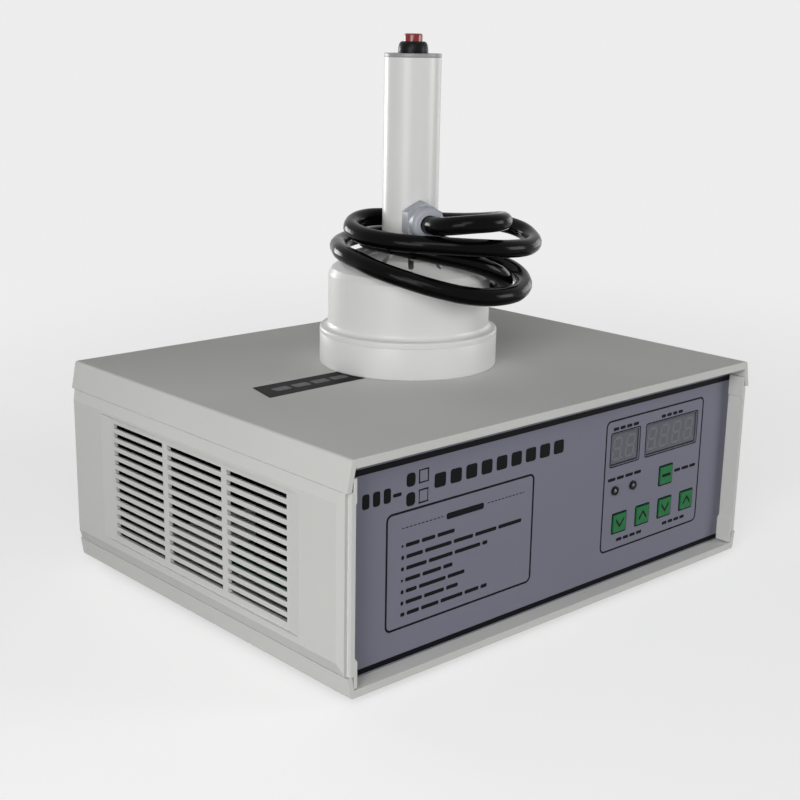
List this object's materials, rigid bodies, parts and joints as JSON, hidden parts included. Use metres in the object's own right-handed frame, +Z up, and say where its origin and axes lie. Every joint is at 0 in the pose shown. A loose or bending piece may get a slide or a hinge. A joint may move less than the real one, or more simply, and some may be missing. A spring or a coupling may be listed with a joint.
{
  "type": "induction cap sealer",
  "caption": "Hand-held induction cap sealer: louvred generator case with keys and displays, and a corded sealing head with slotted dome, tube handle and trigger button.",
  "frame": {"origin": "on the standing surface, under the middle of the case", "axes": "+X right, +Y back and +Z up, as seen from the front panel"},
  "size_m": [0.3504, 0.3149, 0.3386],
  "materials": {
    "shell_plastic": "fine moulded texture, cream grey",
    "panel_metal": "sheet, satin",
    "panel_film": "printed film, blue grey",
    "foot_rubber": "moulded",
    "screw_steel": "zinc plated",
    "display_face": "unlit digit display",
    "lamp_lens": "unlit lamp",
    "black_plastic": "moulded",
    "key_green": "moulded green",
    "board_green": "circuit board",
    "sink_aluminium": "extruded",
    "capacitor_yellow": "potted box",
    "capacitor_blue": "potted box",
    "winding_copper": "enamelled copper",
    "ferrite": "sintered",
    "guard_steel": "plated",
    "pin_brass": "plated",
    "rocker_red": "moulded red",
    "fuse_glass": "clear",
    "gland_nylon": "nylon, pale grey",
    "head_plastic": "white, slightly warm",
    "end_cap_grey": "grey",
    "button_red": "dark red",
    "lead_rubber": "smooth black jacket"
  },
  "bodies": {
    "case": {"top_cover": "shell_plastic", "base_shell": "shell_plastic", "side_panel_left": "shell_plastic", "side_panel_right": "shell_plastic", "front_panel": "panel_metal", "front_film": "panel_film", "rear_panel": "panel_metal", "rubber_feet": "foot_rubber", "foot_screws": "screw_steel", "case_screws": "screw_steel", "time_display": "display_face", "count_display": "display_face", "indicator_lamps": "lamp_lens", "lamp_bezels": "black_plastic", "tact_switches": "black_plastic", "control_board": "board_green", "board_pillars": "screw_steel", "power_board": "board_green", "board_screws": "screw_steel", "heat_sink": "sink_aluminium", "power_transistors": "black_plastic", "bridge_rectifier": "black_plastic", "filter_capacitor": "capacitor_yellow", "resonant_capacitors": "capacitor_blue", "filter_choke": "winding_copper", "transformer_core": "ferrite", "transformer_winding": "winding_copper", "fan_frame": "black_plastic", "fan_guard": "guard_steel", "rear_screws": "screw_steel", "mains_inlet": "black_plastic", "inlet_pins": "pin_brass", "switch_housing": "black_plastic", "fuse_holder": "black_plastic", "fuse_link": "fuse_glass", "rear_gland_body": "gland_nylon", "rear_gland_dome": "gland_nylon", "rear_gland_nut": "gland_nylon", "head_cap": "head_plastic", "head_body": "head_plastic", "induction_coil": "winding_copper", "coil_carrier": "gland_nylon", "ferrite_bars": "ferrite", "handle_tube": "head_plastic", "handle_end_cap": "end_cap_grey", "trigger_switch": "black_plastic", "switch_nut": "screw_steel", "gland_body": "gland_nylon", "gland_dome": "gland_nylon", "head_cable": "lead_rubber"},
    "trigger": {"trigger_button": "button_red"},
    "mains_rocker": {"switch_rocker": "rocker_red"},
    "fan_wheel": {"fan_rotor": "black_plastic"},
    "fuse_carrier": {"fuse_cap": "black_plastic"},
    "reset_key": {"key_reset": "key_green"},
    "time_down_key": {"key_time_down": "key_green"},
    "time_up_key": {"key_time_up": "key_green"},
    "count_down_key": {"key_count_down": "key_green"},
    "count_up_key": {"key_count_up": "key_green"}
  },
  "joints": [
    {"name": "trigger_press", "type": "slide", "parent": "case", "child": "trigger", "axis": [0, 0, -1], "range_m": [0, 0.003], "stiffness_N_per_m": 1000},
    {"name": "reset_key_press", "type": "slide", "parent": "case", "child": "reset_key", "axis": [0, 1, 0], "range_m": [0, 0.0005], "stiffness_N_per_m": 4000},
    {"name": "time_down_key_press", "type": "slide", "parent": "case", "child": "time_down_key", "axis": [0, 1, 0], "range_m": [0, 0.0005], "stiffness_N_per_m": 4000},
    {"name": "time_up_key_press", "type": "slide", "parent": "case", "child": "time_up_key", "axis": [0, 1, 0], "range_m": [0, 0.0005], "stiffness_N_per_m": 4000},
    {"name": "count_down_key_press", "type": "slide", "parent": "case", "child": "count_down_key", "axis": [0, 1, 0], "range_m": [0, 0.0005], "stiffness_N_per_m": 4000},
    {"name": "count_up_key_press", "type": "slide", "parent": "case", "child": "count_up_key", "axis": [0, 1, 0], "range_m": [0, 0.0005], "stiffness_N_per_m": 4000},
    {"name": "mains_rocker_tilt", "type": "hinge", "parent": "case", "child": "mains_rocker", "pos_m": [0.005, 0.121, 0.083], "axis": [1, 0, 0], "range_deg": [0, 20]},
    {"name": "fan_spin", "type": "hinge", "parent": "case", "child": "fan_wheel", "pos_m": [-0.09, 0.1, 0.069], "axis": [0, 1, 0], "continuous": true},
    {"name": "fuse_cap_turn", "type": "hinge", "parent": "case", "child": "fuse_carrier", "pos_m": [0.055, 0.127, 0.043], "axis": [0, 1, 0], "range_deg": [0, 60]}
  ]
}
